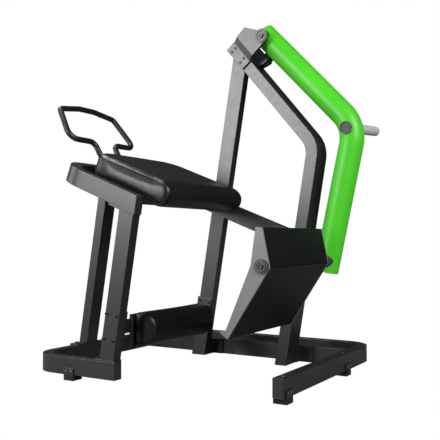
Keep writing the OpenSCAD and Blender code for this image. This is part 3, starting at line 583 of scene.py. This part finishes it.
def pinch_ends(pad, crease, lean):
    """Draws both end faces back on each side of an upright crease, so that each end is convex in plan."""
    low = min(v.co.x for v in pad.data.vertices)
    centre_y = sum(v.co.y for v in pad.data.vertices) / len(pad.data.vertices)
    for vertex in pad.data.vertices:
        away = abs(vertex.co.x - low - crease)
        vertex.co.y = centre_y + (vertex.co.y - centre_y) * (1 - lean * away)


def inflate(piece):
    """Blows the block up as stuffed cloth, with a cap on how far any point may move."""
    before = [v.co.copy() for v in piece.data.vertices]
    cloth = piece.modifiers.new("cloth", "CLOTH")
    cloth.settings.quality = 4
    cloth.settings.mass = 0.4
    cloth.settings.tension_stiffness = 40
    cloth.settings.compression_stiffness = 12
    cloth.settings.bending_stiffness = 12
    cloth.settings.use_pressure = True
    cloth.settings.uniform_pressure_force = AIR_PRESSURE
    cloth.settings.effector_weights.gravity = 0
    cloth.point_cache.frame_start = 1
    cloth.point_cache.frame_end = CLOTH_FRAMES
    for step in range(1, CLOTH_FRAMES + 1):
        bpy.context.scene.frame_set(step)
    seen = piece.evaluated_get(bpy.context.evaluated_depsgraph_get())
    after = [v.co.copy() for v in seen.data.vertices]
    piece.modifiers.remove(cloth)
    for vertex, old, new in zip(piece.data.vertices, before, after):
        move = new - old
        if move.length > SWELL_CAP:
            move = move.normalized() * SWELL_CAP
        vertex.co = old + move
    bpy.context.scene.frame_set(1)


def smooth_skin(piece):
    """Relaxes the small creases that the cloth leaves, and doubles the mesh once."""
    relax = piece.modifiers.new("relax", "SMOOTH")
    relax.factor = 0.5
    relax.iterations = 30
    apply_modifier(piece, relax)
    finer = piece.modifiers.new("finer", "SUBSURF")
    finer.levels = 1
    finer.render_levels = 1
    apply_modifier(piece, finer)
    for polygon in piece.data.polygons:
        polygon.use_smooth = True


def piping(name, pad, path):
    """A thin welt laid on the pad's skin along a closed path."""
    form = bmesh.new()
    form.from_mesh(pad.data)
    skin = BVHTree.FromBMesh(form)
    laid = [skin.find_nearest(point)[0] for point in path]
    form.free()
    route = [laid[0]]
    for point in laid[1:]:
        if (point - route[-1]).length > PIPING_RADIUS:
            route.append(point)
    welt = tube(name, route, PIPING_RADIUS, MATERIALS["upholstery"], PIPING_SIDES, closed=True)
    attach(welt, "frame")


def finish_pad(pad, node, paths):
    inflate(pad)
    smooth_skin(pad)
    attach(pad, "frame")
    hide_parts(node)
    for side, path in paths.items():
        piping(f"{node}_{side}_piping", pad, path)


CHEST_SLOPE = math.radians(21.3)
CHEST_LENGTH = 0.505
CHEST_THICK = 0.116
CHEST_CROWN = 0.004
CHEST_PLAN_RADIUS = 0.120
CHEST_EDGE = 0.024
CHEST_FRONT_RADIUS = 0.018
CHEST_NOSE_RADIUS = 0.055
# the corner radii shrink with the inset, by no more than these
CHEST_FRONT_SHRINK = 0.012
CHEST_NOSE_SHRINK = 0.040


def make_chest_pad():
    """A sloping block with rounded front corners in plan, a crowned top and a round lower nose."""
    low, high = corner_pair("chest_pad")
    width = high.y - low.y - FABRIC_ROOM

    def outline_at(y, inset):
        across = 2 * y / width - 1
        front = edge_inset(min(y, width - y), CHEST_PLAN_RADIUS) + inset
        top = CHEST_THICK + CHEST_CROWN * (1 - across ** 2) - inset
        front_radius = CHEST_FRONT_RADIUS - min(inset, CHEST_FRONT_SHRINK)
        nose_radius = CHEST_NOSE_RADIUS - min(inset, CHEST_NOSE_SHRINK)
        radii = (front_radius, nose_radius, nose_radius, front_radius)
        steps = (CORNER_STEPS, NOSE_STEPS, NOSE_STEPS, CORNER_STEPS)
        return rounded_outline(front, CHEST_LENGTH - inset, inset, top, radii, steps)

    centre = box_middle("chest_pad")
    pad, paths = pad_block("chest_pad_cover", width, CHEST_EDGE, outline_at, CHEST_SLOPE, centre)
    voxelise(pad)
    finish_pad(pad, "chest_pad", paths)


KNEE_ROOM = 0.004          # the knee cover starts this much less deep and tall than its CAD solid
KNEE_EDGE = 0.016
KNEE_NOSE_RADIUS = 0.060
KNEE_NOSE_DROP = 0.025     # height of the flat stretch between the nose's two bends
KNEE_RISE = math.radians(16)
KNEE_MAX_INSET = 0.014
KNEE_CREASE = 0.055        # how far the upright crease of each end lies from the back
KNEE_LEAN = 1.0


def knee_section(depth, tall, inset):
    """Flat back, level top, round nose, and an underside that rises from the back to the nose."""
    radius = KNEE_NOSE_RADIUS - inset
    nose_x = depth - KNEE_NOSE_RADIUS
    high = tall - KNEE_NOSE_RADIUS
    low = high - KNEE_NOSE_DROP
    points = [(inset, tall - inset)]
    for step in range(NOSE_STEPS + 1):
        angle = math.pi / 2 * (1 - step / NOSE_STEPS)
        points.append((nose_x + radius * math.cos(angle), high + radius * math.sin(angle)))
    for step in range(NOSE_STEPS + 1):
        angle = -(math.pi / 2 - KNEE_RISE) * step / NOSE_STEPS
        points.append((nose_x + radius * math.cos(angle), low + radius * math.sin(angle)))
    foot_x, foot_z = points[-1]
    points.append((inset, foot_z - (foot_x - inset) * math.tan(KNEE_RISE)))
    return list(reversed(points))


def make_knee_pad():
    """A roll with a flat back, whose ends are convex in plan."""
    low, high = corner_pair("knee_pad")
    width = high.y - low.y - FABRIC_ROOM
    depth = high.x - low.x - KNEE_ROOM
    tall = high.z - low.z - KNEE_ROOM

    def outline_at(_, inset):
        return knee_section(depth, tall, min(inset, KNEE_MAX_INSET))

    centre = box_middle("knee_pad")
    pad, paths = pad_block("knee_pad_cover", width, KNEE_EDGE, outline_at, 0.0, centre)
    voxelise(pad)
    pinch_ends(pad, KNEE_CREASE, KNEE_LEAN)
    finish_pad(pad, "knee_pad", paths)


make_chest_pad()
make_knee_pad()
